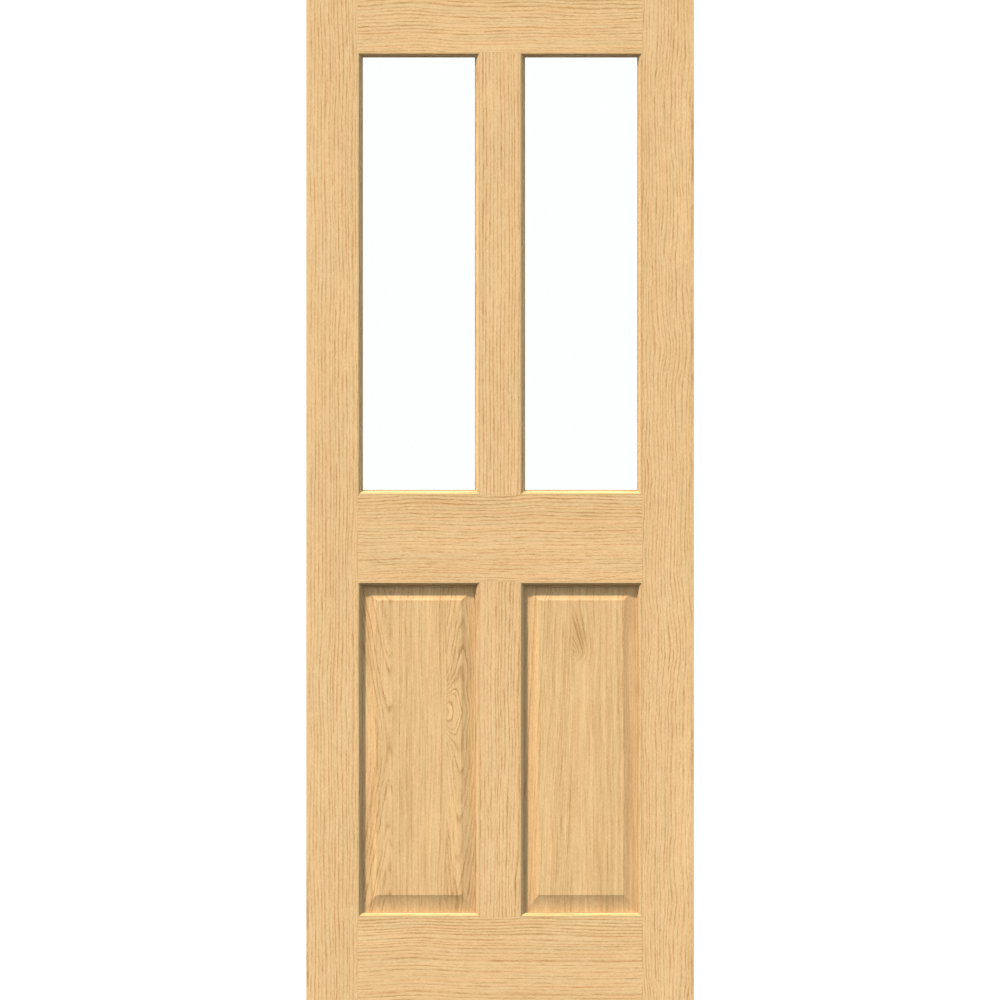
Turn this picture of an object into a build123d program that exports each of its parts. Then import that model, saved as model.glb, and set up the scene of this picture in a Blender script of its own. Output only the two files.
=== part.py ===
from build123d import *
import os

# A glazed interior door leaf in oak: two clear lights over two raised and fielded panels.
# Sizes are in millimetres. X runs across the leaf from its hinge edge, Y through its thickness
# with the front at -Y, and Z up from its bottom edge.

# Leaf
leaf_height = 1981
leaf_width = 762
leaf_thickness = 35

# Framing members, out to the shoulder lines where they butt together
stile_width = 101
muntin_width = 78
top_rail_depth = 110
middle_rail_depth = 170
middle_rail_base = 830
bottom_rail_depth = 170

# Mortise and tenon joints, hidden inside the framing
tenon_thickness = 12
tenon_shoulder = 20
rail_tenon_length = 60
muntin_tenon_length = 25
mortise_end_gap = 2

# Solid strips that close the two long edges
lipping_width = 5
lipping_arris = 1

# Ovolo moulding round every opening: a flat land, a quirk, a round and a fillet
land_width = 2.7
quirk_depth = 1
ovolo_width = 5.5
ovolo_depth = 9
fillet_width = 2.1

# Glazing: the pane is bedded between two rings of tape, behind a front bead and a back bead
front_bead_depth = 12.5
glass_thickness = 4
glass_edge_gap = 3
tape_thickness = 1.5
tape_width = 6.5

# Raised and fielded panels, held by a tongue in the grooves of their mouldings
panel_thickness = 19
tongue_thickness = 10
bevel_width = 26.5
bottom_bevel_width = 33.5
groove_depth = 7
groove_clearance = 0.15
panel_play = 1.5

# Worked out from the sizes above
face = leaf_thickness / 2
moulding_depth = quirk_depth + ovolo_depth
strip_width = land_width + ovolo_width + fillet_width
opening_width = (leaf_width - 2 * stile_width - muntin_width) / 2
left_opening_centre = stile_width + opening_width / 2
right_opening_centre = leaf_width - left_opening_centre
light_base = middle_rail_base + middle_rail_depth
light_height = leaf_height - top_rail_depth - light_base
panel_opening_base = bottom_rail_depth
panel_opening_height = middle_rail_base - bottom_rail_depth
glass_front = face - front_bead_depth - tape_thickness
glass_back = glass_front - glass_thickness

os.makedirs("parts", exist_ok=True)


def save(piece, name):
    """Label a finished piece and write it to its own file."""
    piece.part.label = name
    export_step(piece.part, f"parts/{name}.step")


# Framing members. Each is drawn on the front elevation and is as thick as the leaf. The rails are
# tenoned into the stiles and the muntins into the rails, in mortises a little deeper than the tenon.


def draw_block(low_x, high_x, low_z, high_z):
    """A rectangle of the front elevation, drawn in the sketch that is open."""
    with Locations(((low_x + high_x) / 2, (low_z + high_z) / 2)):
        Rectangle(high_x - low_x, high_z - low_z)


def framing_member(name, outline, tenons=(), mortises=()):
    """A square-edged member, with tenons that stand out of it and mortises that are cut into it."""
    with BuildPart() as member:
        with BuildSketch(Plane.XZ):
            draw_block(*outline)
        extrude(amount=face, both=True)
        for tenon in tenons:
            with BuildSketch(Plane.XZ):
                draw_block(*tenon)
            extrude(amount=tenon_thickness / 2, both=True)
        for mortise in mortises:
            with BuildSketch(Plane.XZ):
                draw_block(*mortise)
            extrude(amount=tenon_thickness / 2, both=True, mode=Mode.SUBTRACT)
    save(member, name)


rail_start = stile_width
rail_end = leaf_width - stile_width
muntin_start = rail_start + opening_width
muntin_end = muntin_start + muntin_width

rails = {
    "bottom_rail": (0, bottom_rail_depth),
    "middle_rail": (middle_rail_base, light_base),
    "top_rail": (leaf_height - top_rail_depth, leaf_height),
}
muntins = {
    "lower_muntin": (bottom_rail_depth, middle_rail_base),
    "upper_muntin": (light_base, leaf_height - top_rail_depth),
}


def rail_ends(low_z, high_z, reach):
    """The blocks at the left and right ends of a rail that reach into the stiles."""
    low = low_z + tenon_shoulder
    high = high_z - tenon_shoulder
    return (rail_start - reach, rail_start, low, high), (rail_end, rail_end + reach, low, high)


def muntin_ends(low_z, high_z, reach):
    """The blocks at the foot and head of a muntin that reach into the rails."""
    low = muntin_start + tenon_shoulder
    high = muntin_end - tenon_shoulder
    return (low, high, low_z - reach, low_z), (low, high, high_z, high_z + reach)


mortise_reach = rail_tenon_length + mortise_end_gap
stub_reach = muntin_tenon_length + mortise_end_gap
left_mortises = [rail_ends(*heights, mortise_reach)[0] for heights in rails.values()]
right_mortises = [rail_ends(*heights, mortise_reach)[1] for heights in rails.values()]
lower_foot, lower_head = muntin_ends(*muntins["lower_muntin"], stub_reach)
upper_foot, upper_head = muntin_ends(*muntins["upper_muntin"], stub_reach)
rail_mortises = {
    "bottom_rail": [lower_foot],
    "middle_rail": [lower_head, upper_foot],
    "top_rail": [upper_head],
}

framing_member(
    "left_stile", (lipping_width, rail_start, 0, leaf_height), mortises=left_mortises
)
framing_member(
    "right_stile", (rail_end, leaf_width - lipping_width, 0, leaf_height), mortises=right_mortises
)
for name, heights in rails.items():
    framing_member(
        name,
        (rail_start, rail_end, *heights),
        tenons=rail_ends(*heights, rail_tenon_length),
        mortises=rail_mortises[name],
    )
for name, heights in muntins.items():
    framing_member(
        name,
        (muntin_start, muntin_end, *heights),
        tenons=muntin_ends(*heights, muntin_tenon_length),
    )

# Edge lippings. The two outer corners of each are rounded off by a small arris.

for name, centre_x, outer_side in (
    ("hinge_edge_lipping", lipping_width / 2, 0),
    ("lock_edge_lipping", leaf_width - lipping_width / 2, -1),
):
    with BuildPart() as lipping:
        with BuildSketch(Plane.XY):
            with Locations((centre_x, 0)):
                Rectangle(lipping_width, leaf_thickness)
        extrude(amount=leaf_height)
        outer_corners = lipping.edges().filter_by(Axis.Z).group_by(Axis.X)[outer_side]
        fillet(outer_corners, lipping_arris)
    save(lipping, name)

# Moulded strips. Every opening is lined by four strips, mitred where they meet at its corners.


def opening_sides(centre_x, base, height):
    """Each side of an opening: its plane, with X along the side, Y inwards and Z to the front."""
    middle = base + height / 2
    left = centre_x - opening_width / 2
    right = centre_x + opening_width / 2
    front = (0, -1, 0)
    return (
        ("bottom", Plane((centre_x, 0, base), x_dir=(1, 0, 0), z_dir=front), opening_width),
        ("right", Plane((right, 0, middle), x_dir=(0, 0, 1), z_dir=front), height),
        ("top", Plane((centre_x, 0, base + height), x_dir=(-1, 0, 0), z_dir=front), opening_width),
        ("left", Plane((left, 0, middle), x_dir=(0, 0, -1), z_dir=front), height),
    )


# What the cutter takes off the front corner of a strip, with X into the opening and Y to the front
with BuildSketch() as front_waste:
    with BuildLine():
        # The round rises square off the fillet and turns over towards the quirk
        ovolo = TangentArc(
            (strip_width - fillet_width, face - moulding_depth),
            (land_width, face - quirk_depth),
            tangent=(0, 1),
        )
        Polyline(
            ovolo @ 1,
            (land_width, face),
            (strip_width, face),
            (strip_width, face - moulding_depth),
            ovolo @ 0,
        )
    make_face()

# The same cut on the back corner
with BuildSketch() as back_waste:
    mirror(front_waste.sketch, about=Plane.XZ)


def moulded_strip(name, side, length, front, back, wastes, grooved=False):
    """A strip along one side of an opening, moulded on the faces that its wastes name."""
    section_plane = Plane(side.origin, x_dir=side.y_dir, z_dir=side.x_dir)
    with BuildPart() as strip:
        with BuildSketch(section_plane):
            with Locations((strip_width / 2, (front + back) / 2)):
                Rectangle(strip_width, front - back)
            for waste in wastes:
                add(waste.sketch, mode=Mode.SUBTRACT)
            if grooved:
                with Locations((strip_width - groove_depth / 2, 0)):
                    Rectangle(groove_depth, tongue_thickness + 2 * groove_clearance, mode=Mode.SUBTRACT)
        extrude(amount=length / 2, both=True)
        # The mitres: the strip is as long as the opening outside and shorter by its width inside
        with BuildSketch(side):
            with BuildLine():
                Polyline(
                    (-length / 2, 0),
                    (length / 2, 0),
                    (length / 2 - strip_width, strip_width),
                    (strip_width - length / 2, strip_width),
                    close=True,
                )
            make_face()
        extrude(amount=leaf_thickness, both=True, mode=Mode.INTERSECT)
    save(strip, name)


for place, centre_x in (("left", left_opening_centre), ("right", right_opening_centre)):
    for side_name, side, length in opening_sides(centre_x, light_base, light_height):
        moulded_strip(
            f"{place}_light_front_bead_{side_name}",
            side,
            length,
            face,
            glass_front + tape_thickness,
            [front_waste],
        )
        moulded_strip(
            f"{place}_light_back_bead_{side_name}",
            side,
            length,
            glass_back - tape_thickness,
            -face,
            [back_waste],
        )
    for side_name, side, length in opening_sides(centre_x, panel_opening_base, panel_opening_height):
        moulded_strip(
            f"{place}_panel_moulding_{side_name}",
            side,
            length,
            face,
            -face,
            [front_waste, back_waste],
            grooved=True,
        )

# Glass and its bedding. The pane stops short of the framing, and the tape follows its edge.

glass_width = opening_width - 2 * glass_edge_gap
glass_height = light_height - 2 * glass_edge_gap
glass_centre_height = light_base + light_height / 2

for place, centre_x in (("left", left_opening_centre), ("right", right_opening_centre)):
    with BuildPart() as glass:
        with BuildSketch(Plane.XZ.offset(glass_back)):
            with Locations((centre_x, glass_centre_height)):
                Rectangle(glass_width, glass_height)
        extrude(amount=glass_thickness)
    save(glass, f"{place}_glass")

    for layer, layer_back in (("front", glass_front), ("back", glass_back - tape_thickness)):
        with BuildPart() as tape:
            with BuildSketch(Plane.XZ.offset(layer_back)):
                with Locations((centre_x, glass_centre_height)):
                    Rectangle(glass_width, glass_height)
                    Rectangle(
                        glass_width - 2 * tape_width,
                        glass_height - 2 * tape_width,
                        mode=Mode.SUBTRACT,
                    )
            extrude(amount=tape_thickness)
        save(tape, f"{place}_{layer}_glazing_tape")

# Raised and fielded panels. A section across and a section up the panel are each run out to a
# solid, and what they share has the bevels mitred at the corners. Both faces are raised.


def raised_section(low_sight, high_sight, low_tongue, high_tongue, low_bevel, high_bevel):
    """Section with X along it and Y to the face: tongue, hollow bevel, flat field, bevel, tongue."""
    with BuildSketch(mode=Mode.PRIVATE) as section:
        with BuildLine():
            low_edge = Line(
                (low_sight - low_tongue, tongue_thickness / 2), (low_sight, tongue_thickness / 2)
            )
            low_rise = TangentArc(
                low_edge @ 1, (low_sight + low_bevel, panel_thickness / 2), tangent=(1, 0)
            )
            field = Line(low_rise @ 1, (high_sight - high_bevel, panel_thickness / 2))
            high_rise = TangentArc((high_sight, tongue_thickness / 2), field @ 1, tangent=(-1, 0))
            high_edge = Line(
                high_rise @ 0, (high_sight + high_tongue, tongue_thickness / 2)
            )
            Polyline(
                high_edge @ 1,
                (high_sight + high_tongue, 0),
                (low_sight - low_tongue, 0),
                low_edge @ 0,
            )
        make_face()
        mirror(about=Plane.XZ)
    return section.sketch


tongue_length = groove_depth - panel_play
panel_low_sight = panel_opening_base + strip_width
panel_high_sight = panel_opening_base + panel_opening_height - strip_width

for place, centre_x in (("left", left_opening_centre), ("right", right_opening_centre)):
    left_sight = centre_x - opening_width / 2 + strip_width
    right_sight = centre_x + opening_width / 2 - strip_width
    with BuildPart() as panel:
        # Across, looking down: the same bevel and tongue at both sides
        with BuildSketch(Plane.XY):
            add(
                raised_section(
                    left_sight, right_sight, tongue_length, tongue_length, bevel_width, bevel_width
                )
            )
        extrude(amount=leaf_height)
        # Up, seen from the side: the wider bevel at the foot, where the tongue rests in its groove
        with BuildSketch(Plane((0, 0, 0), x_dir=(0, 0, 1), z_dir=(1, 0, 0))):
            add(
                raised_section(
                    panel_low_sight,
                    panel_high_sight,
                    groove_depth,
                    tongue_length,
                    bottom_bevel_width,
                    bevel_width,
                )
            )
        extrude(amount=leaf_width, mode=Mode.INTERSECT)
    save(panel, f"{place}_panel")
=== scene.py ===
# %% [markdown]
# # A glazed oak door leaf
# This lesson dresses a door leaf: two clear lights over two raised and fielded panels, in pale oak
# under a matt lacquer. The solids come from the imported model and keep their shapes. They could all be
# drawn again here, but the two sets would soon differ, so only the panels are, to get smoother
# bevels. The work is the wood: every board is cut from a tree of its own, so every board has its own
# grain.

# %% Load the door
import math

import bmesh
import bpy
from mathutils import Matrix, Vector


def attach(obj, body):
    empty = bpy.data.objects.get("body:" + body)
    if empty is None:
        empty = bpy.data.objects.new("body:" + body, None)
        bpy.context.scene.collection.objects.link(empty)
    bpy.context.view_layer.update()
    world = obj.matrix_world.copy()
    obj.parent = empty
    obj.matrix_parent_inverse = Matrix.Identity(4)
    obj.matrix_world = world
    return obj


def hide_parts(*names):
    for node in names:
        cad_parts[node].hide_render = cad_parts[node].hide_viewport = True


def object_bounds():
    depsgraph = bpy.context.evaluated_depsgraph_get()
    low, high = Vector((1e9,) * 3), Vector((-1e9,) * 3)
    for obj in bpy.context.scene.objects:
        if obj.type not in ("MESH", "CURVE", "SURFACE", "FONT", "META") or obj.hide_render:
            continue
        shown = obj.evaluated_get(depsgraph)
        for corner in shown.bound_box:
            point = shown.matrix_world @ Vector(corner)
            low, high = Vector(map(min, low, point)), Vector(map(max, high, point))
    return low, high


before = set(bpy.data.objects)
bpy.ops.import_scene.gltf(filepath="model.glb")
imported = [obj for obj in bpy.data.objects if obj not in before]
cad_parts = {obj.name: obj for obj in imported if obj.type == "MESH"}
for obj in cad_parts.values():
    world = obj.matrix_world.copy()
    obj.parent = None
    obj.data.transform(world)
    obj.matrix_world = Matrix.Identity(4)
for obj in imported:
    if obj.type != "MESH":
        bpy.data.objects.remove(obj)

cad_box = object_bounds()
leaf_low, leaf_high = (Vector(corner) for corner in cad_box)
leaf_size = leaf_high - leaf_low
leaf_centre = (leaf_low + leaf_high) / 2
print("the leaf's width, thickness and height in metres:", [round(side, 4) for side in leaf_size])

# %% [markdown]
# ## The camera
# The door is pictured square on, with no perspective to be seen in its mouldings. An orthographic
# camera could do that, but a very long lens from far away looks the same and still frames the other
# views well. The picture is a square that is a little lower than the leaf, so it cuts a few
# millimetres off its top and its foot.

# %% Camera
LEAF_WIDTH_IN_PICTURE = 0.38754
LENS_MM = 1500
SENSOR_MM = 36
NEAREST_SEEN = 1
SEEN_BEYOND_LEAF = 20

picture_side = leaf_size.x / LEAF_WIDTH_IN_PICTURE
camera_distance = picture_side * LENS_MM / SENSOR_MM
camera_data = bpy.data.cameras.new("long_lens")
camera_data.lens = LENS_MM
camera_data.sensor_width = SENSOR_MM
camera_data.clip_start = NEAREST_SEEN
camera_data.clip_end = camera_distance + SEEN_BEYOND_LEAF
camera = bpy.data.objects.new("camera", camera_data)
camera.location = (leaf_centre.x, leaf_low.y - camera_distance, leaf_centre.z)
camera.rotation_euler = (math.radians(90), 0, 0)
bpy.context.scene.collection.objects.link(camera)
bpy.context.scene.camera = camera
print("the camera stands off", round(camera_distance, 1), "m and sees", round(picture_side, 4), "m")

# %% [markdown]
# ## Small tools for materials
# A material in Blender is a tree of nodes. Every node could be added, set and linked line by line,
# but a wood needs dozens of them, and the sums would be lost among the links. With these few tools
# each step of a material reads as one line. The first two add nodes and link them.

# %% Nodes and links


def plug(tree, node, inputs):
    """Fills a node's inputs, each of them named or numbered. Another node's output is linked to
    the input, and a plain value is set on it."""
    for key, value in inputs.items():
        if isinstance(value, bpy.types.NodeSocket):
            tree.links.new(value, node.inputs[key])
        else:
            node.inputs[key].default_value = value


def wire(tree, kind, inputs=(), **settings):
    """Adds a node with its settings and its inputs."""
    node = tree.nodes.new(kind)
    for key, value in settings.items():
        setattr(node, key, value)
    plug(tree, node, dict(inputs))
    return node


# %% [markdown]
# The next four are sums, blends and spans of values. They could be put together by hand in the
# shader editor, but the same few come back many times in every board.

# %% Sums, blends and spans


def calc(tree, operation, *values):
    """One step of arithmetic, on outputs and plain numbers."""
    return wire(tree, "ShaderNodeMath", enumerate(values), operation=operation).outputs[0]


def blend_value(tree, amount, low, high):
    """A value that goes from low to high with the amount."""
    return wire(tree, "ShaderNodeMix", {0: amount, 2: low, 3: high}, data_type="FLOAT").outputs[0]


def blend_color(tree, amount, first, second, how="MIX"):
    """A colour that goes from the first to the second with the amount, or is tinted by it."""
    ends = {0: amount, 6: first, 7: second}
    return wire(tree, "ShaderNodeMix", ends, data_type="RGBA", blend_type=how).outputs[2]


def rescale(tree, value, old_low, old_high, new_low=0.0, new_high=1.0):
    """Leads one span of values to another, and holds it at the ends."""
    spans = {0: value, 1: old_low, 2: old_high, 3: new_low, 4: new_high}
    return wire(tree, "ShaderNodeMapRange", spans).outputs[0]


# %% [markdown]
# The last two begin and end a material. It starts from the place on the leaf, because the packed
# pieces all share the leaf's own frame, so no piece has to be unwrapped.

# %% Start and surface of a material


def new_material(name):
    """A material, its tree, its shader, and the output that says where on the leaf a point is."""
    material = bpy.data.materials.new(name)
    material.use_nodes = True
    tree = material.node_tree
    spot = wire(tree, "ShaderNodeTexCoord").outputs["Object"]
    return material, tree, tree.nodes["Principled BSDF"], spot


def relief(tree, height, depth, strength):
    """What a shader needs to see a height as relief of that depth, in metres."""
    inputs = {"Height": height, "Distance": depth, "Strength": strength}
    return wire(tree, "ShaderNodeBump", inputs).outputs[0]


# %% [markdown]
# ## The lamps
# The light is one soft lamp high on the left. Its slant shows in the shadow that each top moulding
# throws on its panel. An area lamp would have to hang close to be soft, and would then light the top
# of the leaf more than its foot. A sun lamp that is given a wide angle is as soft, and lights all of
# the leaf alike. A weaker and much softer one behind the leaf keeps its back from looking dull, and
# doesn't reach the front.

# %% Lamps
LAMPS = {
    "soft_lamp": {
        "travel": (1.07, 1.0, -2.33),
        "strength": 6.9,
        "color": (1.085, 1.0, 0.92),
        "spread_deg": 3.5,
    },
    "back_lamp": {
        "travel": (-0.25, -1.0, -0.7),
        "strength": 1.75,
        "color": (1.16, 1.0, 0.84),
        "spread_deg": 50,
    },
}

for name, light in LAMPS.items():
    lamp_data = bpy.data.lights.new(name, "SUN")
    lamp_data.energy = light["strength"]
    lamp_data.color = light["color"]
    lamp_data.angle = math.radians(light["spread_deg"])
    lamp = bpy.data.objects.new(name, lamp_data)
    lamp.rotation_euler = Vector(light["travel"]).to_track_quat("-Z", "Y").to_euler()
    bpy.context.scene.collection.objects.link(lamp)
    print(name, "shines along", light["travel"])

# %% [markdown]
# ## The sky and the backdrop
# The rest of the light is a soft sky, cooler than the lamps. It fades toward the ground, so the
# undersides of the mouldings are dark. The backdrop is plain white, also through the glass. A white
# wall could be that, but it would throw its own light and take shadows, so the backdrop is a second
# sky that only the camera sees. Light that wood has scattered doesn't count as seen, or else the
# white would light the mouldings round the glass from behind.

# %% Sky and backdrop
SKY_BELOW = 0.14
SKY_ABOVE = 1.56
SKY_STARTS_AT = -0.3
SKY_FULL_AT = 0.4
SKY_COLOR = (0.85, 1.0, 1.11, 1)
WHITE = (1, 1, 1, 1)
BACKDROP_STRENGTH = 1.03
LESS_THAN_ONE_SCATTERING = 0.5

world = bpy.data.worlds.new("studio")
world.use_nodes = True
sky = world.node_tree
sky.nodes.clear()
direction = wire(sky, "ShaderNodeTexCoord").outputs["Generated"]
upward = wire(sky, "ShaderNodeSeparateXYZ", {0: direction}).outputs["Z"]
sky_strength = rescale(sky, upward, SKY_STARTS_AT, SKY_FULL_AT, SKY_BELOW, SKY_ABOVE)
rays = wire(sky, "ShaderNodeLightPath")
unscattered = calc(sky, "LESS_THAN", rays.outputs["Diffuse Depth"], LESS_THAN_ONE_SCATTERING)
through_glass = calc(sky, "MULTIPLY", rays.outputs["Is Transmission Ray"], unscattered)
seen = calc(sky, "MAXIMUM", rays.outputs["Is Camera Ray"], through_glass)
strength = blend_value(sky, seen, sky_strength, BACKDROP_STRENGTH)
color = blend_color(sky, seen, SKY_COLOR, WHITE)
background = wire(sky, "ShaderNodeBackground", {"Color": color, "Strength": strength})
wire(sky, "ShaderNodeOutputWorld", {"Surface": background.outputs[0]})
bpy.context.scene.world = world
bpy.context.scene.view_settings.view_transform = "Standard"
print("the sky's strength goes from", SKY_BELOW, "to", SKY_ABOVE)

# %% [markdown]
# ## The floor
# The leaf stands on a pale matt floor. One large square could be it, but a little way behind the
# leaf a level floor rises into the picture and makes the leaf's foot look frayed. So it begins to
# fall there, by about one part in seventy. The floor takes shadows but throws no light back, because
# the sky's dark lower half already stands for it.

# %% Floor
FLOOR_REACH = 3
FLOOR_LEVEL_BEHIND = 0.55
FLOOR_FALL = 0.034
FLOOR_LIGHT = (0.66, 0.65, 0.64, 1)
FLOOR_DARK = (0.58, 0.57, 0.56, 1)
FLOOR_CLOUDS = {"Scale": 9, "Detail": 4}
FLOOR_ROUGHNESS = 0.8

corners = []
for y, z in ((-FLOOR_REACH, 0), (FLOOR_LEVEL_BEHIND, 0), (FLOOR_REACH, -FLOOR_FALL)):
    for x in (-FLOOR_REACH, FLOOR_REACH):
        corners.append((leaf_centre.x + x, leaf_centre.y + y, leaf_low.z + z))
floor_mesh = bpy.data.meshes.new("floor")
floor_mesh.from_pydata(corners, [], [(0, 1, 3, 2), (2, 3, 5, 4)])
floor = bpy.data.objects.new("floor", floor_mesh)
bpy.context.scene.collection.objects.link(floor)

pale_floor, tree, shader, spot = new_material("pale_floor")
clouds = wire(tree, "ShaderNodeTexNoise", {"Vector": spot, **FLOOR_CLOUDS}).outputs[0]
floor_color = blend_color(tree, clouds, FLOOR_DARK, FLOOR_LIGHT)
plug(tree, shader, {"Base Color": floor_color, "Roughness": FLOOR_ROUGHNESS})
floor_mesh.materials.append(pale_floor)
floor.visible_diffuse = False
print("the floor is", 2 * FLOOR_REACH, "m wide and falls", FLOOR_FALL, "m behind the leaf")

# %% [markdown]
# ## Oak, cut from a tree
# Oak shows its growth rings as lines of open pores. A picture of a board could be laid on each
# face, but its lines would stop at the edges and match nothing on the sawn ends. So here, as in the
# sawmill, a board is cut from a trunk, and its figure comes from where in the trunk it lay. Each
# board gets a trunk of its own, with the heart somewhere behind or beside it, and the shader works
# out how far from that heart every point lies. Rings meet a board's face as straight lines where the
# heart is far to one side, and as pointed arches where it lies close behind. A trunk that leans, bows
# or grows round a knot bends them.
#
# Everything is in millimetres from the leaf's own origin, in three directions: across the board,
# through it, and along the grain. Each board names its own seed and where its heart lies, and
# whatever else it has of its own is written over the list below.

# %% What a board is
PALE = (0.562, 0.366, 0.177, 1)
BROWN = (0.352, 0.1795, 0.057, 1)
COMMON_BOARD = {
    "ring": 6.0,            # how wide one year's growth is
    "lean": (0.0, 0.0),     # how far the heart moves across for each step along, and where it is upright
    "bow": (0.0, 0.0, 1.0),  # how much the trunk narrows away from a place along it, and how softly
    "swerve": (0.0, 0.0, 1.0),  # how far the heart swerves aside, where along, and over what half length
    "hills": (),            # knots and swirls: height, place across and along, half width and length
    "darker": (),           # where the lines are darker: by how much, then as for a hill
    "shades": (),           # where all the wood is darker: by how much, then as for a hill
    "year_tone": 0.0,       # how much darker or paler one whole year may be than another
    "wander": 5.0,          # how far the lines stray over a long way
    "wander_length": 330.0,
    "ripple": 1.1,          # how far they shake over a short way
    "ripple_length": 28.0,
    "wild_edge": None,      # two places across and the ripple at the first, where it is wilder
    "uneven": 1.5,          # how much the width of the rings changes from year to year
    "faintest_year": 0.4,   # how dark the line of the palest year is, beside the darkest
    "dash": 34.0,           # how far a line goes on before it fades or darkens
    "pale": PALE,           # the wood where it is palest and where its lines are darkest
    "brown": BROWN,
    "contrast": 0.87,       # how dark the lines are
    "shade": 0.1,           # how dark the wood is between its lines
    "streaks": 0.17,        # how strong the fine streaks are, which are paler as often as darker
    "stripes": 0.0,         # how strong the broad soft stripes are
    "tone": 0.11,           # how much the whole colour drifts
    "hue": 0.8,             # how much it goes from rosy to olive
    # the next is painted light and shade laid over the wood as a tint, white for none
    "painted_light_tint": WHITE,
    "specular": 0.2,
    "sawn": False,          # whether it reaches the sawn top or foot of the leaf
    "ends": None,           # where the board ends along the grain, for the hairline of its joints
    "field": None,          # a raised panel's flat field: lowest X and Z, highest X and Z, in metres
    # the next holds how strong the painted shade is on a panel's four bevels
    "bevel_shade_shares": None,   # how deep the colour gets on the bevels left of, below, right of and above it
}
print("all boards share", len(COMMON_BOARD), "values, as far as they have none of their own")

# %% [markdown]
# ### Directions and noise
# Wood changes slowly along the grain and quickly across it, but Blender's noise is as long as it is
# wide. It could be stretched anew for each use. Here every place is first measured along the grain,
# and every kind of noise is then named once, with its width, its length and its own step of the
# seed. So one board's streaks don't look like its pores, or like another board's streaks.

# %% Directions and noise
MM = 1000
NOISES = {
    "wander": {"wide": 90, "seed_step": 0.1, "detail": 2.0},
    "ripple": {"wide": 9, "seed_step": 0.2, "detail": 2.5},
    "fading": {"wide": 5, "seed_step": 0.3, "detail": 3.0},
    "streak": {"wide": 2.6, "long": 70, "seed_step": 0.4, "detail": 3.0},
    "pore": {"wide": 0.9, "long": 9, "seed_step": 0.5, "detail": 0.0},
    "drift": {"wide": 45, "long": 420, "seed_step": 0.6, "detail": 1.0},
    "hue": {"wide": 8, "long": 130, "seed_step": 0.7, "detail": 2.0},
    "fleck": {"wide": 1.4, "long": 4.5, "seed_step": 0.8, "detail": 2.0},
    "stripe": {"wide": 9, "long": 240, "seed_step": 0.9, "detail": 3.0},
}
NOISE_LOW = 0.2
NOISE_HIGH = 0.8


def grain_axes(tree, spot, run):
    """Millimetres across, through and along an upright or a level board, and all three in one."""
    metres = wire(tree, "ShaderNodeSeparateXYZ", {0: spot}).outputs
    order = "XYZ" if run == "upright" else "ZYX"
    across, through, along = (calc(tree, "MULTIPLY", metres[axis], MM) for axis in order)
    place = wire(tree, "ShaderNodeCombineXYZ", {0: across, 1: through, 2: along}).outputs[0]
    return {"across": across, "through": through, "along": along, "place": place}


def grain_noise(tree, board, axes, kind, long=None):
    """Soft noise of one kind, from about -1 to 1. Its length may come from the board instead."""
    noise = NOISES[kind]
    sizes = (noise["wide"], noise["wide"], long or noise["long"])
    per_blob = {0: axes["place"], 1: [1 / size for size in sizes]}
    scaled = wire(tree, "ShaderNodeVectorMath", per_blob, operation="MULTIPLY").outputs[0]
    seed = board["seed"] + noise["seed_step"]
    inputs = {"Vector": scaled, "W": seed, "Scale": 1.0, "Detail": noise["detail"]}
    cloud = wire(tree, "ShaderNodeTexNoise", inputs, noise_dimensions="4D").outputs[0]
    return rescale(tree, cloud, NOISE_LOW, NOISE_HIGH, -1.0, 1.0)


print(len(NOISES), "kinds of noise, the widest", max(noise["wide"] for noise in NOISES.values()), "mm")

# %% [markdown]
# ### Hills for knots and swirls
# Where a branch left the trunk, the rings bend round it. The branch could be a second trunk that
# crosses the first, but the two would meet at a hard line. A soft hill that is added to the distance
# from the heart bends the rings in the same way, and closes them up into an eye where it is steep.

# %% Hills


def square(tree, value):
    """A value times itself."""
    return calc(tree, "MULTIPLY", value, value)


def bell(tree, value, middle, half_width):
    """1 at the middle, and falling off softly to 0 on both sides."""
    far = calc(tree, "DIVIDE", calc(tree, "SUBTRACT", value, middle), half_width)
    return calc(tree, "EXPONENT", calc(tree, "MULTIPLY", square(tree, far), -1.0))


def add_hills(tree, value, axes, hills):
    """Adds soft hills to a value. One with no width goes right across the board."""
    for height, middle_across, middle_along, half_width, half_length in hills:
        one = bell(tree, axes["along"], middle_along, half_length)
        if half_width:
            one = calc(tree, "MULTIPLY", one, bell(tree, axes["across"], middle_across, half_width))
        value = calc(tree, "MULTIPLY_ADD", one, height, value)
    return value


# %% [markdown]
# ### How far from the heart
# A trunk is a stack of slender cones round its heart. They could be modelled and cut, but a shader
# can simply say how far each point is from the heart, taken square to the grain. Slow noise makes
# that distance wander and quick noise makes it ripple, as growing wood does.

# %% How far from the heart
STRAY_THROUGH = 0.6      # how far the rings stray through the board, beside how far across it


def stray(tree, board, axes):
    """How far the rings lie off their true place."""
    ripple_depth = board["ripple"]
    if board["wild_edge"]:
        wild_at, calm_at, wild_ripple = board["wild_edge"]
        ripple_depth = rescale(tree, axes["across"], wild_at, calm_at, wild_ripple, ripple_depth)
    wander = grain_noise(tree, board, axes, "wander", board["wander_length"])
    wander = calc(tree, "MULTIPLY", wander, board["wander"])
    ripple = grain_noise(tree, board, axes, "ripple", board["ripple_length"])
    return calc(tree, "MULTIPLY_ADD", ripple, ripple_depth, wander)


def heart_across(tree, board, axes):
    """How far across the board the heart lies, at each place along it."""
    across = board["heart"][0]
    lean, upright_at = board["lean"]
    heart = calc(tree, "MULTIPLY_ADD", axes["along"], lean, across - lean * upright_at)
    swerve, swerve_at, half_length = board["swerve"]
    if swerve:
        swerving = bell(tree, axes["along"], swerve_at, half_length)
        heart = calc(tree, "MULTIPLY_ADD", swerving, swerve, heart)
    return heart


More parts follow.
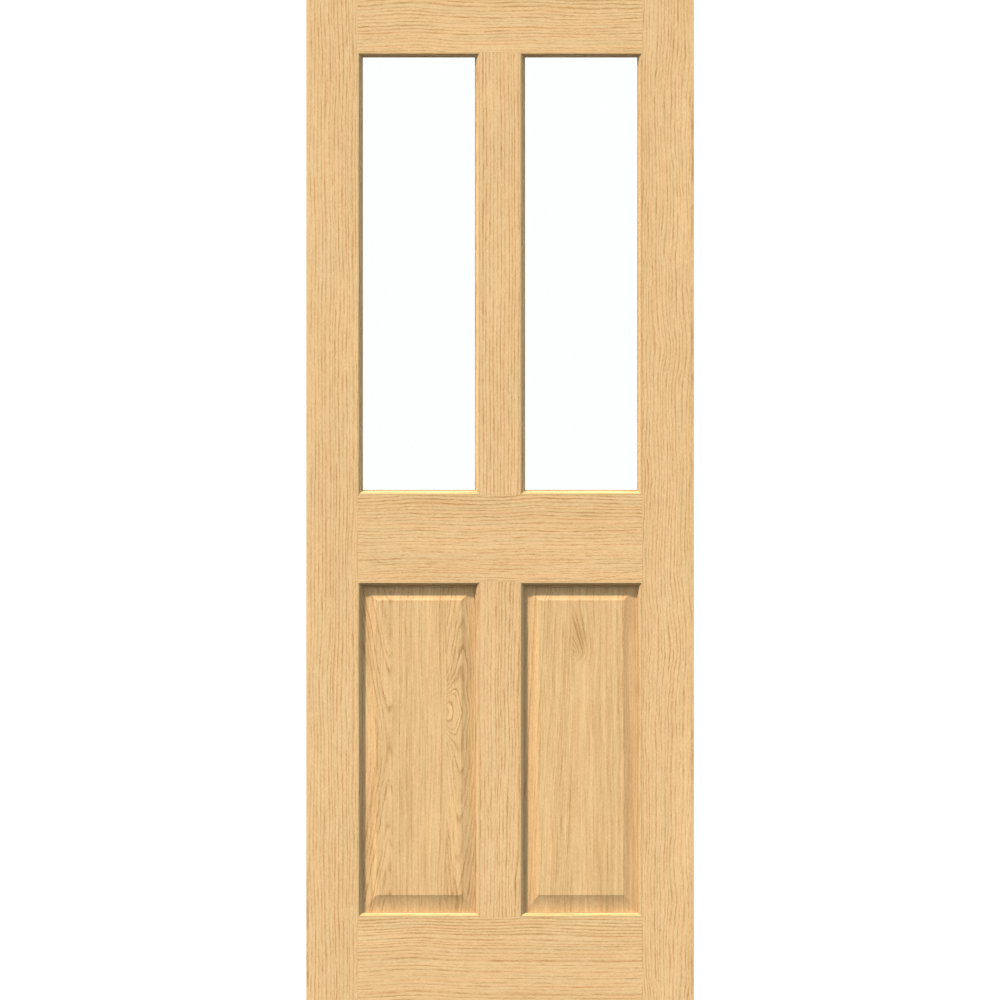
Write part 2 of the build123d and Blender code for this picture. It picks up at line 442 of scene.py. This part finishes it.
def heart_distance(tree, board, axes):
    """How far each point is from the heart of the trunk, square to the grain."""
    shift = stray(tree, board, axes)
    side = calc(tree, "ADD", axes["across"], shift)
    side = calc(tree, "SUBTRACT", side, heart_across(tree, board, axes))
    depth = calc(tree, "MULTIPLY_ADD", shift, STRAY_THROUGH, axes["through"])
    depth = calc(tree, "SUBTRACT", depth, board["heart"][1])
    distance = calc(tree, "SQRT", calc(tree, "ADD", square(tree, side), square(tree, depth)))
    bow, bow_at, softness = board["bow"]
    if bow:
        off = calc(tree, "SUBTRACT", axes["along"], bow_at)
        off = calc(tree, "SQRT", calc(tree, "MULTIPLY_ADD", off, off, softness * softness))
        distance = calc(tree, "MULTIPLY_ADD", off, bow, distance)
    return add_hills(tree, distance, axes, board["hills"])


# %% [markdown]
# ### The lines of the rings
# Each year starts with a band of wide pores, which is the dark line, and ends in dense pale wood.
# Blender has a texture of plain rings, but its rings are all alike. In real oak no two are as wide or
# as dark as each other, and no line is dark all the way. So the distance is turned into an age that
# grows unevenly, every whole year draws how dark it is, and noise along the grain fades each line in
# and out.

# %% Lines of the rings
SPELLS_PER_YEAR = 0.45   # how quickly spells of wide and narrow rings follow each other
GROWTH_SEED = 7          # this seed and the next keep one board's years from being another's
YEAR_SEED = 13
FADING_SPAN = (-0.6, 0.6)
FADING_STRENGTH = (0.1, 1.3)

# Each pair holds the part of the year that is over, and how dark the wood is then.
RING_PROFILE = ((0.0, 0.3), (0.1, 1.0), (0.24, 0.85), (0.42, 0.15), (0.8, 0.0), (1.0, 0.25))


def ramp(tree, value, stops):
    """A value led through straight runs between (position, result) stops."""
    node = wire(tree, "ShaderNodeValToRGB", {0: value})
    while len(node.color_ramp.elements) < len(stops):
        node.color_ramp.elements.new(1.0)
    for element, (position, result) in zip(node.color_ramp.elements, stops):
        element.position = position
        element.color = (result, result, result, 1)
    return node.outputs[0]


def ring_age(tree, board, distance):
    """How many years a point is from the heart, where good and poor years took turns."""
    age = calc(tree, "DIVIDE", distance, board["ring"])
    spell = calc(tree, "MULTIPLY_ADD", age, SPELLS_PER_YEAR, board["seed"] * GROWTH_SEED)
    inputs = {"W": spell, "Scale": 1.0, "Detail": 1.0}
    growth = wire(tree, "ShaderNodeTexNoise", inputs, noise_dimensions="1D").outputs[0]
    return calc(tree, "MULTIPLY_ADD", growth, board["uneven"], age)


def ring_lines(tree, board, axes, age):
    """The dark line of each ring, from 0 to about 1, and how much darker its whole year is."""
    line = ramp(tree, calc(tree, "FRACT", age), RING_PROFILE)
    year = calc(tree, "ADD", calc(tree, "FLOOR", age), board["seed"] * YEAR_SEED)
    drawn = wire(tree, "ShaderNodeTexWhiteNoise", {"W": year}, noise_dimensions="1D").outputs[0]
    fading = grain_noise(tree, board, axes, "fading", board["dash"])
    fading = rescale(tree, fading, *FADING_SPAN, *FADING_STRENGTH)
    weight = calc(tree, "MULTIPLY", blend_value(tree, drawn, board["faintest_year"], 1.0), fading)
    line = calc(tree, "MULTIPLY", line, add_hills(tree, weight, axes, board["darker"]))
    return line, calc(tree, "MULTIPLY_ADD", drawn, board["year_tone"], -board["year_tone"] / 2)


print("a spell of wide or narrow rings lasts about", round(1 / SPELLS_PER_YEAR, 1), "years")

# %% [markdown]
# ### Open pores
# Close to, oak is full of short dashes, which are single pores cut open lengthwise. Most of them
# lie in the dark lines. They could be modelled as grooves, but there are many thousands, each less
# than a millimetre wide. Noise that is long along the grain, and only shows where it is highest,
# gives as many as needed.

# %% Open pores
PORE_STARTS = 0.25
PORE_FULL = 0.45
PORES_IN_LINE = 0.9
PORES_BETWEEN = 0.15
FLECKS = 0.8


def open_pores(tree, board, axes, line):
    """Short dashes of pores, most of them in the rings' dark lines, and fine flecks all over."""
    pores = rescale(tree, grain_noise(tree, board, axes, "pore"), PORE_STARTS, PORE_FULL)
    share = calc(tree, "MULTIPLY_ADD", line, PORES_IN_LINE, PORES_BETWEEN)
    flecks = grain_noise(tree, board, axes, "fleck")
    return calc(tree, "MULTIPLY_ADD", flecks, FLECKS, calc(tree, "MULTIPLY", pores, share))


# %% [markdown]
# ### Sawn edges, joints and the painted shade of the bevels
# The top and foot of the leaf are only sawn: bare wood, rougher and deeper in colour, and on the
# stiles it is end grain. Where a board meets its neighbour there is a dark hairline. A panel's
# bevels get a painted shade, darker and deeper in colour from the field's edge outward, more on some
# sides than on others. Each could be a material of its own on a few faces, but the imported solids
# aren't cut up here, and the change would be too sudden. So the shader finds these places from where
# they lie on the leaf.

# %% Sawn edges, joints and bevels
SAWN_DEPTH = 0.0004
JOINT_DARK = 0.45
JOINT_WIDTH = 0.9
# The painted shade on a bevel starts a little inside the field and is full a little way down the bevel.
PAINTED_SHADE_FROM = -0.004
PAINTED_SHADE_FULL_AT = 0.018
BEVEL_SIDES = (("X", -1), ("Z", -1), ("X", 1), ("Z", 1))    # left, bottom, right and top


def off_middle(tree, value, low, high):
    """How far a value is from halfway between low and high."""
    return calc(tree, "ABSOLUTE", calc(tree, "SUBTRACT", value, (low + high) / 2))


def sawn_edge(tree, spot):
    """1 on the sawn top and foot of the leaf, and 0 below the surface."""
    height = wire(tree, "ShaderNodeSeparateXYZ", {0: spot}).outputs["Z"]
    from_middle = off_middle(tree, height, leaf_low.z, leaf_high.z)
    half_height = leaf_size.z / 2
    return rescale(tree, from_middle, half_height - SAWN_DEPTH, half_height - SAWN_DEPTH / 2)


def joint_hairline(tree, axes, ends):
    """How much darker the wood is at the two ends of a board."""
    first, last = ends
    from_middle = off_middle(tree, axes["along"], first, last)
    half_length = (last - first) / 2
    return rescale(tree, from_middle, half_length - JOINT_WIDTH, half_length, 0.0, JOINT_DARK)


def bevel_painted_shade(tree, spot, field, shares):
    """0 on a raised panel's flat field, whose box is given in metres, and up to a share of painted
    shade on each of its bevels."""
    axes = wire(tree, "ShaderNodeSeparateXYZ", {0: spot}).outputs
    amount = 0.0
    for (axis, outward), edge, share in zip(BEVEL_SIDES, field, shares):
        beyond = calc(tree, "MULTIPLY", calc(tree, "SUBTRACT", axes[axis], edge), outward)
        beyond = rescale(tree, beyond, PAINTED_SHADE_FROM, PAINTED_SHADE_FULL_AT, 0.0, share)
        amount = calc(tree, "MAXIMUM", amount, beyond)
    return amount


# %% [markdown]
# ### The colour of oak
# Seen from a step back, oak is one warm colour, with streaks, broad soft stripes and a slow drift
# between rosy and olive. Each of these could be a colour of its own, laid over the last. It is
# easier to keep in hand as one value, how dark the wood is, which is led from pale to brown at the
# end. Single streaks may be paler than the pale wood, so the value has some room at that end.

# %% Colour of oak
PORE_DARK = 0.4
PALEST = 0.35            # how far single streaks may be paler than the pale wood
ROSY = (1.03, 0.985, 0.965, 1)
OLIVE = (0.97, 1.015, 1.035, 1)
BETWEEN_ROSY_AND_OLIVE = 0.5


def darkness(tree, board, axes, line, year, pores):
    """How dark the wood is, where 0 is the pale wood and 1 the brown."""
    dark = calc(tree, "MULTIPLY_ADD", line, board["contrast"], board["shade"])
    dark = add_hills(tree, calc(tree, "ADD", dark, year), axes, board["shades"])
    dark = calc(tree, "MULTIPLY_ADD", pores, PORE_DARK, dark)
    for kind, amount in (("streak", "streaks"), ("drift", "tone"), ("stripe", "stripes")):
        if board[amount]:
            noise = grain_noise(tree, board, axes, kind)
            dark = calc(tree, "MULTIPLY_ADD", noise, board[amount], dark)
    if board["ends"]:
        dark = calc(tree, "ADD", dark, joint_hairline(tree, axes, board["ends"]))
    return dark


def wood_color(tree, board, axes, dark):
    """The colour for each darkness, somewhere between rosy and olive, times any painted light and shade
    the board carries.
    """
    ends = zip(board["pale"], board["brown"])
    palest = [pale + (pale - brown) * PALEST for pale, brown in ends]
    from_palest = calc(tree, "DIVIDE", calc(tree, "ADD", dark, PALEST), 1 + PALEST)
    color = blend_color(tree, from_palest, palest, board["brown"])
    hue = grain_noise(tree, board, axes, "hue")
    hue = calc(tree, "MULTIPLY_ADD", hue, board["hue"], BETWEEN_ROSY_AND_OLIVE)
    color = blend_color(tree, 1.0, color, blend_color(tree, hue, ROSY, OLIVE), "MULTIPLY")
    # Any painted light and shade of the board multiplies the colour.
    return blend_color(tree, 1.0, color, board["painted_light_tint"], "MULTIPLY")


# %% [markdown]
# ### The finished oak
# The leaf is under a matt lacquer that is thin enough to leave the pores open, so they are a little
# lower and less glossy than the wood round them. The lacquer could be a coat over the shader, but
# that shines like varnish. Low gloss on the wood itself, with the pores as fine relief, looks like
# the real thing.

# %% The finished oak
# The colour of the painted shade on the panels' bevels.
BEVEL_PAINTED_SHADE = (0.935, 0.874, 0.822, 1)
SAWN_TINT = (0.70, 0.62, 0.52, 1)
ROUGHNESS = 0.62
LINE_ROUGHER = 0.12
SAWN_ROUGHER = 0.2
PORE_LEVEL = -0.75
LINE_LEVEL = -0.25
PORE_DEPTH = 0.0002
PORE_RELIEF = 0.5


def oak(name, run, given):
    """Lacquered oak for one board, which grew as given."""
    board = {**COMMON_BOARD, **given}
    material, tree, shader, spot = new_material(name)
    axes = grain_axes(tree, spot, run)
    age = ring_age(tree, board, heart_distance(tree, board, axes))
    line, year = ring_lines(tree, board, axes, age)
    pores = open_pores(tree, board, axes, line)
    dark = darkness(tree, board, axes, line, year, pores)
    color = wood_color(tree, board, axes, dark)
    roughness = calc(tree, "MULTIPLY_ADD", line, LINE_ROUGHER, ROUGHNESS)
    if board["field"]:
        # The bevels get their painted shade, deeper toward the outside.
        painted_shade = bevel_painted_shade(tree, spot, board["field"], board["bevel_shade_shares"])
        color = blend_color(tree, painted_shade, color, BEVEL_PAINTED_SHADE, "MULTIPLY")
    if board["sawn"]:
        sawn = sawn_edge(tree, spot)
        color = blend_color(tree, sawn, color, SAWN_TINT, "MULTIPLY")
        roughness = calc(tree, "MULTIPLY_ADD", sawn, SAWN_ROUGHER, roughness)
    level = calc(tree, "MULTIPLY_ADD", pores, PORE_LEVEL, calc(tree, "MULTIPLY", line, LINE_LEVEL))
    surface = {
        "Base Color": color,
        "Roughness": roughness,
        "Specular IOR Level": board["specular"],
        "Normal": relief(tree, level, PORE_DEPTH, PORE_RELIEF),
    }
    plug(tree, shader, surface)
    return material


def dress(node_name, material):
    """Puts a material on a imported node."""
    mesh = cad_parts[node_name].data
    mesh.materials.clear()
    mesh.materials.append(material)


# %% [markdown]
# ## The framing
# Stiles and muntins stand upright and rails lie level, and a thin lipping closes each long edge of
# the leaf. A joiner picks straight-grained boards for them. One trunk could serve them all, turned
# for the rails, but then one figure would run on from board to board. So each has its own heart, far
# to one side, at a distance that makes the lines six or seven millimetres apart on average. Each rail
# has its darkest lines near its upper edge, where they rise and fall a little along it. The middle
# and the bottom rail are wilder toward their lower edge, where the figure breaks into short ripples.

# %% What the rails share
RAIL_SWERVE = (5, 215, 70)
RAIL_REACH = 900
HUMP_ALONG = 450
HUMP_HALF_WIDTH = 40
HUMP_HALF_LENGTH = 50


def all_along(amount, across, half_width):
    """A hill that stays nearly as high all along a rail."""
    return amount, across, leaf_centre.x * MM, half_width, RAIL_REACH


def hump(height, across):
    """A low hill a little right of the middle of a rail, which lifts its lines there."""
    return height, across, HUMP_ALONG, HUMP_HALF_WIDTH, HUMP_HALF_LENGTH


print("the rails swerve", RAIL_SWERVE[0], "mm aside and hump at", HUMP_ALONG, "mm")

# %% Framing boards
FRAMING_LOOK = {"uneven": 1.0, "faintest_year": 0.6}
FRAMING = {
    "left_stile": ("upright", {
        "seed": 1.0, "heart": (-260, 160), "wander": 9, "wander_length": 200, "contrast": 0.76,
    }),
    "right_stile": ("upright", {
        "seed": 2.0, "heart": (1040, 130), "wander": 9, "wander_length": 200, "contrast": 0.74,
    }),
    "upper_muntin": ("upright", {
        "seed": 3.0, "heart": (120, 180), "ring": 5.6, "wander": 7, "contrast": 0.9,
    }),
    "lower_muntin": ("upright", {
        "seed": 4.0, "heart": (620, 160), "ring": 5.4, "wander": 6, "contrast": 0.9,
    }),
    "top_rail": ("level", {
        "seed": 5.0, "heart": (2180, 120), "ring": 5.8, "wander": 6, "contrast": 0.74,
        "swerve": RAIL_SWERVE, "hills": (hump(3, 1960),), "darker": (all_along(0.35, 1960, 20),),
    }),
    "middle_rail": ("level", {
        "seed": 6.0, "heart": (1180, 110), "ring": 5.8, "wander": 5, "contrast": 0.73, "dash": 28,
        "swerve": RAIL_SWERVE, "hills": (hump(3, 978),), "wild_edge": (850, 930, 2.2),
        "darker": (all_along(0.33, 976, 26), all_along(-0.14, 876, 20)),
    }),
    "bottom_rail": ("level", {
        "seed": 7.0, "heart": (-160, 120), "wander": 6, "contrast": 0.74,
        "swerve": RAIL_SWERVE, "hills": (hump(-3, 150),), "wild_edge": (12, 60, 2.0),
        "darker": (all_along(0.33, 146, 24), all_along(-0.2, 58, 22)),
    }),
    "hinge_edge_lipping": ("upright", {"seed": 8.0, "heart": (40, 220), "ring": 5.0}),
    "lock_edge_lipping": ("upright", {"seed": 8.5, "heart": (700, 240), "ring": 5.0}),
}
NOT_SAWN = ("middle_rail", "upper_muntin", "lower_muntin")
print(len(FRAMING), "framing boards")

# %% [markdown]
# ### Where the framing boards end
# A rail's face runs from stile to stile, and a muntin's from rail to rail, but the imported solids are
# longer by their hidden tenons. The ends could be typed in, but then they would stay behind if the
# model changed, so they are measured on the neighbours.

# %% Dress the framing


def frame_edge(name, axis, high):
    """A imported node's lowest or highest place along an axis, in millimetres."""
    spots = [getattr(vertex.co, axis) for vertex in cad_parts[name].data.vertices]
    return (max(spots) if high else min(spots)) * MM


def seen_ends(name, run):
    """Where a board's face ends along its grain, or None for one that runs the whole height."""
    if run == "level":
        return frame_edge("left_stile", "x", True), frame_edge("right_stile", "x", False)
    if name == "upper_muntin":
        return frame_edge("middle_rail", "z", True), frame_edge("top_rail", "z", False)
    if name == "lower_muntin":
        return frame_edge("bottom_rail", "z", True), frame_edge("middle_rail", "z", False)
    return None


for name, (run, board) in FRAMING.items():
    ends = seen_ends(name, run)
    place_in_leaf = {"ends": ends, "sawn": name not in NOT_SAWN}
    dress(name, oak("oak_" + name, run, {**FRAMING_LOOK, **board, **place_in_leaf}))
    if ends:
        print(name, "shows from", round(ends[0], 1), "to", round(ends[1], 1), "mm")

# %% [markdown]
# ## The moulded strips
# The glazing beads and the panel mouldings are run from straight offcuts, with small figure. Each
# side of the openings gets its own tint, a painted light and shade: it tones the strips down, least
# at the top, and makes the lit sills yellower and the shaded left ones cooler. Each of the 24 strips
# could get a board of its own, but the wood is worked out from the place on the door, so one material
# for each side of the openings already gives every strip a figure of its own.

# %% Strips
STRIP_LOOK = {"ring": 4.6, "contrast": 0.64, "streaks": 0.12, "specular": 0.1}
# The tint of each side is painted light and shade, set to how that side catches the lamp.
STRIP_BOARDS = {
    "_left": ("upright", {"seed": 11.0, "heart": (-700, 300), "painted_light_tint": (0.82, 0.85, 0.86, 1)}),
    "_right": ("upright", {"seed": 11.5, "heart": (1400, 300), "painted_light_tint": (0.84, 0.85, 0.86, 1)}),
    "_top": ("level", {"seed": 12.0, "heart": (-900, 300), "painted_light_tint": (0.93, 0.93, 0.90, 1)}),
    "_bottom": ("level", {"seed": 12.5, "heart": (-900, 300), "painted_light_tint": (0.82, 0.85, 0.80, 1)}),
}

for side, (run, board) in STRIP_BOARDS.items():
    strip_oak = oak("oak_strips" + side, run, {**STRIP_LOOK, **board})
    strips = [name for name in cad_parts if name.endswith(side)]
    for name in strips:
        dress(name, strip_oak)
    print(len(strips), "strips on the", side.strip("_"))

# %% [markdown]
# ## The boards of the panels
# A panel is glued up from boards, and each board keeps its own figure right up to the glue line. The
# left panel has a board with arches on its left, a straight one in the middle, and one with a swirl
# on its right. The right panel has two straight boards, and a knot at their glue line pushes the
# rings aside. The figure could be drawn as lines, but rings bent by a few soft hills keep the even
# spacing that makes it look grown.

# %% Panel boards
PANEL_LOOK = {
    "pale": (0.542, 0.345, 0.159, 1), "brown": (0.343, 0.186, 0.0625, 1), "hue": 0.6, "tone": 0.14,
    "stripes": 0.2, "streaks": 0.38, "shade": 0.15, "year_tone": 0.2,
}
SWIRL_AT = 574
KNOT_ACROSS = 519
ARCHED_BOARD = {
    "seed": 21.0, "heart": (163, 0), "ring": 8.4, "bow": (-0.2, 500, 70), "wander": 6,
    "ripple": 1.7, "ripple_length": 60, "uneven": 1.4, "contrast": 0.84,
}
STRAIGHT_BOARD = {"seed": 22.0, "heart": (-40, 150), "ring": 6.2, "wander": 10, "contrast": 0.5}
SWIRLED_BOARD = {
    "seed": 23.0, "heart": (304, -0.5), "ring": 6.6, "bow": (0.12, SWIRL_AT, 5), "wander": 3,
    "lean": (0.015, 597), "swerve": (-27, SWIRL_AT, 47), "hills": ((-21, 0, SWIRL_AT, 0, 36),),
    "darker": ((0.5, 285, 565, 25, 66), (0.45, 288, 705, 26, 60)),
    "shades": ((-0.25, 284, SWIRL_AT, 12, 22), (0.25, 296, 645, 18, 16)),
    "ripple": 1.7, "ripple_length": 34, "uneven": 1.2, "hue": 0.9, "contrast": 0.85,
}
LEANING_BOARD = {
    "seed": 24.0, "heart": (240, 150), "ring": 4.4, "wander": 7, "lean": (0.06, 500),
    "contrast": 0.5, "shade": 0.09,
}
KNOTTY_BOARD = {
    "seed": 25.0, "heart": (420, 60), "ring": 10, "ripple": 0.7, "contrast": 0.36, "stripes": 0.26,
    "hills": (
        (-20, KNOT_ACROSS, 716, 38, 52), (-18, KNOT_ACROSS, 696, 33, 20), (-14, KNOT_ACROSS, 688, 29, 9),
    ),
    "darker": ((2.4, 536, 728, 15, 40), (-0.6, 530, 672, 16, 14)),
    "shades": ((0.3, 545, 718, 16, 30),), "shade": 0.18,
}
# Each panel also says how strong the painted shade is on each of its bevels.
PANELS = {
    "left_panel": {
        "boards": (ARCHED_BOARD, STRAIGHT_BOARD, SWIRLED_BOARD),
        "glue_lines": (169.3, 276.4),
        "bevel_shade_shares": (0.3, 0.4, 0.3, 1.0),
    },
    "right_panel": {
        "boards": (LEANING_BOARD, KNOTTY_BOARD),
        "glue_lines": (522.8,),
        "bevel_shade_shares": (1.0, 0.4, 1.0, 1.0),
    },
}
print(sum(len(panel["boards"]) for panel in PANELS.values()), "boards in", len(PANELS), "panels")

# %% [markdown]
# ## The shape of the panels
# A raised panel is thick in its flat field and thin at its tongue, which stands in the groove of the
# mouldings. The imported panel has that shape, but few facets in its hollow bevels. Smooth shading
# could hide them, but the light would still bend in the wrong place, so the same panel is built
# again with finer ones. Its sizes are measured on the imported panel.

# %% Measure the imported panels
CLOSE = 0.0001


def distinct(values):
    """The different positions in some numbers, in order."""
    kept = []
    for value in sorted(values):
        if not kept or value - kept[-1] > 2 * CLOSE:
            kept.append(value)
    return kept


def box_of(spots, steps_in=0):
    """The box in X and Z that lies some positions in from the outermost ones."""
    columns = distinct(spot.x for spot in spots)
    rows = distinct(spot.z for spot in spots)
    return columns[steps_in], rows[steps_in], columns[-1 - steps_in], rows[-1 - steps_in]


def measure_panel(node):
    """A packed panel's boxes in X and Z, and its heights in Y."""
    spots = [vertex.co for vertex in node.data.vertices]
    thick = max(spot.y for spot in spots)
    thin = min(abs(spot.y) for spot in spots)
    on_field = [spot for spot in spots if spot.y > thick - CLOSE]
    on_tongue = [spot for spot in spots if abs(abs(spot.y) - thin) < CLOSE]
    return {
        "whole": box_of(on_tongue),
        "sight": box_of(on_tongue, 1),
        "field": box_of(on_field),
        "half_tongue": thin,
        "half_thickness": thick,
    }


panel_shapes = {name: measure_panel(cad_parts[name]) for name in PANELS}
for name, shape in panel_shapes.items():
    print(name, "field", [round(edge * MM, 1) for edge in shape["field"]], "mm")

# %% [markdown]
# ### Rings up a hollow bevel
# A moulding cutter leaves a round hollow that runs up to a sharp edge at the field. A curve could be
# swept along the four sides, but the bevel at the foot is wider than the others, so its mitres
# aren't at 45 degrees. Here every ring is a rectangle at one height of the bevel, so the mitres fall
# where the same heights of two neighbouring bevels meet.

# %% The hollow


def hollow_radius(width, rise):
    """The radius of a hollow that starts flat and reaches a rise over a width."""
    return (width * width + rise * rise) / (2 * rise)


def hollow_reach(width, rise, height):
    """How far in from its start such a hollow reaches a height."""
    radius = hollow_radius(width, rise)
    return math.sqrt(max(0.0, radius * radius - (radius - height) ** 2))


def hollow_height(width, rise, reach):
    """How high such a hollow is, that far in from its start."""
    radius = hollow_radius(width, rise)
    return radius - math.sqrt(radius * radius - reach * reach)


for name, shape in panel_shapes.items():
    side_bevel = shape["field"][0] - shape["sight"][0]
    radius = hollow_radius(side_bevel, shape["half_thickness"] - shape["half_tongue"])
    print(name, "has side bevels of", round(side_bevel * MM, 1), "mm, radius", round(radius * MM, 1))

# %% Rings up the hollow
BEVEL_STEPS = 14


def add_ring(mesh, box, y):
    """The four corners of a rectangle at one height."""
    low_x, low_z, high_x, high_z = box
    corners = ((low_x, low_z), (high_x, low_z), (high_x, high_z), (low_x, high_z))
    return [mesh.verts.new((x, y, z)) for x, z in corners]


def add_band(mesh, first, second):
    """The four faces between two rings."""
    for corner in range(4):
        after = (corner + 1) % 4
        mesh.faces.new((first[corner], first[after], second[after], second[corner]))


def raised_panel(shape):
    """The panel as rings, from the edge of its tongue up to the flat field, on both faces."""
    mesh = bmesh.new()
    sight = shape["sight"]
    rise = shape["half_thickness"] - shape["half_tongue"]
    widths = [abs(inner - outer) for inner, outer in zip(shape["field"], sight)]
    tongue_edges = []
    for face in (-1, 1):
        last = add_ring(mesh, shape["whole"], face * shape["half_tongue"])
        tongue_edges.append(last)
        for step in range(BEVEL_STEPS + 1):
            height = hollow_height(widths[0], rise, widths[0] * step / BEVEL_STEPS)
            left, low, right, high = (hollow_reach(width, rise, height) for width in widths)
            box = (sight[0] + left, sight[1] + low, sight[2] - right, sight[3] - high)
            ring = add_ring(mesh, box, face * (shape["half_tongue"] + height))
            add_band(mesh, last, ring)
            last = ring
        mesh.faces.new(last)
    add_band(mesh, *tongue_edges)
    bmesh.ops.recalc_face_normals(mesh, faces=mesh.faces)
    return mesh


# %% [markdown]
# ### Cut along the glue lines
# The boards of a panel are glued edge to edge before it is raised, so a glue line runs straight
# through field and bevels. Separate pieces would leave a gap to be seen, and one material would have
# to hold three trunks. Cutting one mesh along the lines, and giving each part the wood of its board,
# keeps the panel whole.

# %% Cut and dress the panels
ACROSS = (1, 0, 0)
SHARP_FROM_DEG = 4


def cut_into_boards(mesh, glue_lines):
    """Cuts a panel along its glue lines and counts the board of each face, from the left."""
    for glue_line in glue_lines:
        everything = mesh.verts[:] + mesh.edges[:] + mesh.faces[:]
        on_line = (glue_line / MM, 0, 0)
        bmesh.ops.bisect_plane(mesh, geom=everything, plane_co=on_line, plane_no=ACROSS)
    for face in mesh.faces:
        face.smooth = True
        middle = face.calc_center_median().x * MM
        face.material_index = sum(middle > glue_line for glue_line in glue_lines)


for name, panel in PANELS.items():
    shape = panel_shapes[name]
    built = raised_panel(shape)
    cut_into_boards(built, panel["glue_lines"])
    mesh = bpy.data.meshes.new(name + "_boards")
    built.to_mesh(mesh)
    built.free()
    mesh.set_sharp_from_angle(angle=math.radians(SHARP_FROM_DEG))
    bevels = {"field": shape["field"], "bevel_shade_shares": panel["bevel_shade_shares"]}
    for place, board in enumerate(panel["boards"]):
        board_oak = oak(f"oak_{name}_board_{place}", "upright", {**PANEL_LOOK, **bevels, **board})
        mesh.materials.append(board_oak)
    dressed = bpy.data.objects.new(name + "_boards", mesh)
    bpy.context.scene.collection.objects.link(dressed)
    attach(dressed, "root")
    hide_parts(name)
    print(name, "has", len(mesh.materials), "boards and", len(mesh.polygons), "faces")

# %% [markdown]
# ## The glass
# The panes are clear float glass: faintly green, flat to within a soft wave that only reflections
# show, with the faintest haze. A perfect glass shader could stand for it, but that looks like an
# empty hole, and the wave and the haze give it a surface. Light goes straight through a pane, so it
# throws no shadow.

# %% Glass
GLASS_COLOR = (0.972, 0.996, 0.985, 1)
GLASS_IOR = 1.5
GLASS_CLOUDS = {"Scale": 14, "Detail": 3}
CLOUDS_LOW = 0.35
CLOUDS_HIGH = 0.75
MOST_HAZE = 0.02
GLASS_WAVES = {"Scale": 3, "Detail": 0}
WAVE_DEPTH = 0.0005
WAVE_RELIEF = 0.1

glass, tree, shader, spot = new_material("clear_glass")
clouds = wire(tree, "ShaderNodeTexNoise", {"Vector": spot, **GLASS_CLOUDS}).outputs[0]
waves = wire(tree, "ShaderNodeTexNoise", {"Vector": spot, **GLASS_WAVES}).outputs[0]
surface = {
    "Base Color": GLASS_COLOR,
    "IOR": GLASS_IOR,
    "Transmission Weight": 1.0,
    "Roughness": rescale(tree, clouds, CLOUDS_LOW, CLOUDS_HIGH, 0.0, MOST_HAZE),
    "Normal": relief(tree, waves, WAVE_DEPTH, WAVE_RELIEF),
}
plug(tree, shader, surface)
panes = [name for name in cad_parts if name.endswith("_glass")]
for name in panes:
    dress(name, glass)
    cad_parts[name].visible_shadow = False
print(len(panes), "panes")

# %% [markdown]
# ## The glazing tape
# Each pane lies between two rings of closed-cell tape, which the beads press on. Little more than its
# edge can be seen, as a thin brown line. A plain colour would do at arm's length, but the cells show
# close to, and Blender's Voronoi texture makes just such cells.

# %% Glazing tape
TAPE_LIGHT = (0.42, 0.31, 0.19, 1)
TAPE_DARK = (0.30, 0.215, 0.13, 1)
CELLS_PER_METRE = 2500
CELLS_SHARE = 0.5
CELL_DEPTH = 0.0001
CELL_RELIEF = 0.6
TAPE_CLOUDS = {"Scale": 60, "Detail": 3}
TAPE_CLOUD_SPAN = (0.3, 0.7)
TAPE_ROUGHNESS = (0.8, 0.95)

tape, tree, shader, spot = new_material("glazing_tape")
cell_inputs = {"Vector": spot, "Scale": CELLS_PER_METRE}
cells = wire(tree, "ShaderNodeTexVoronoi", cell_inputs).outputs["Distance"]
clouds = wire(tree, "ShaderNodeTexNoise", {"Vector": spot, **TAPE_CLOUDS}).outputs[0]
lightness = calc(tree, "MULTIPLY_ADD", cells, CELLS_SHARE, clouds)
surface = {
    "Base Color": blend_color(tree, lightness, TAPE_DARK, TAPE_LIGHT),
    "Roughness": rescale(tree, clouds, *TAPE_CLOUD_SPAN, *TAPE_ROUGHNESS),
    "Normal": relief(tree, cells, CELL_DEPTH, CELL_RELIEF),
}
plug(tree, shader, surface)
tapes = [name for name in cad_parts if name.endswith("_tape")]
for name in tapes:
    dress(name, tape)
print(len(tapes), "rings of tape")

# %% [markdown]
# ## The solids' box
# What is seen has to be as large as the solids. The two could be compared by eye, but a millimetre
# wouldn't show, so the box of the solids, as measured when they were loaded, is printed.

# %% Finish
print("solid box", [[round(v, 4) for v in corner] for corner in cad_box])
